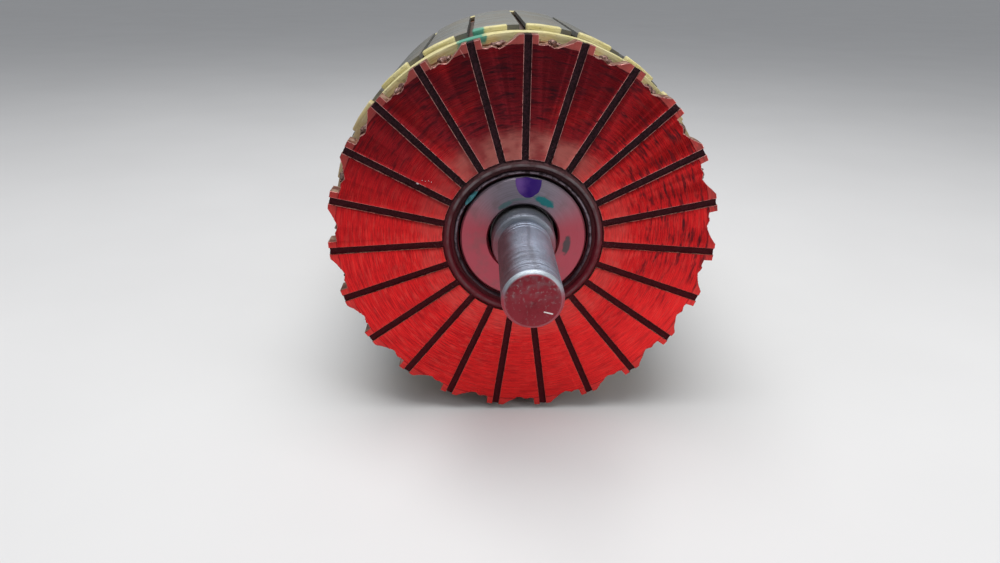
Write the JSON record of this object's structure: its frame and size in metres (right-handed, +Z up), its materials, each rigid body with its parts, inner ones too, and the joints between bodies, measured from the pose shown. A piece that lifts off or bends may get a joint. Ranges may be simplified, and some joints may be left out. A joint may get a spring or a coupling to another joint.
{
  "type": "starter motor rotor with a face commutator",
  "caption": "Starter motor rotor: slotted iron core and hairpin coils on a stepped steel shaft, with a flat copper commutator on its end face and a small sun gear at the drive end.",
  "frame": {"origin": "centre of the shaft's end face at the commutator end", "axes": "+Y along the shaft from the commutator end to the drive end, +Z up through the slot and groove at 12 o'clock, +X to the right as seen from the commutator end"},
  "size_m": [0.0606, 0.1243, 0.0606],
  "materials": {
    "shaft_steel": "ground and turned steel with fine ring marks",
    "collar_steel": "turned steel, with dabs of paint",
    "core_iron": "stacked iron laminations, bare and dull",
    "cream_insulation": "cream insulating material",
    "dark_resin": "dark brown moulding resin",
    "copper_bar": "turned copper with circular brush marks",
    "coil_copper": "varnished flat copper"
  },
  "bodies": {
    "root": {"shaft": "shaft_steel", "front_collar": "collar_steel", "core_laminations": "core_iron", "front_comb": "cream_insulation", "rear_comb": "cream_insulation", "front_band": "cream_insulation", "rear_band": "cream_insulation", "commutator_moulding": "dark_resin", "commutator_bar_01": "copper_bar", "commutator_bar_02": "copper_bar", "commutator_bar_03": "copper_bar", "commutator_bar_04": "copper_bar", "commutator_bar_05": "copper_bar", "commutator_bar_06": "copper_bar", "commutator_bar_07": "copper_bar", "commutator_bar_08": "copper_bar", "commutator_bar_09": "copper_bar", "commutator_bar_10": "copper_bar", "commutator_bar_11": "copper_bar", "commutator_bar_12": "copper_bar", "commutator_bar_13": "copper_bar", "commutator_bar_14": "copper_bar", "commutator_bar_15": "copper_bar", "commutator_bar_16": "copper_bar", "commutator_bar_17": "copper_bar", "commutator_bar_18": "copper_bar", "commutator_bar_19": "copper_bar", "commutator_bar_20": "copper_bar", "commutator_bar_21": "copper_bar", "commutator_bar_22": "copper_bar", "commutator_bar_23": "copper_bar", "coil_01": "coil_copper", "coil_02": "coil_copper", "coil_03": "coil_copper", "coil_04": "coil_copper", "coil_05": "coil_copper", "coil_06": "coil_copper", "coil_07": "coil_copper", "coil_08": "coil_copper", "coil_09": "coil_copper", "coil_10": "coil_copper", "coil_11": "coil_copper", "coil_12": "coil_copper", "coil_13": "coil_copper", "coil_14": "coil_copper", "coil_15": "coil_copper", "coil_16": "coil_copper", "coil_17": "coil_copper", "coil_18": "coil_copper", "coil_19": "coil_copper", "coil_20": "coil_copper", "coil_21": "coil_copper", "coil_22": "coil_copper", "coil_23": "coil_copper"}
  },
  "joints": []
}
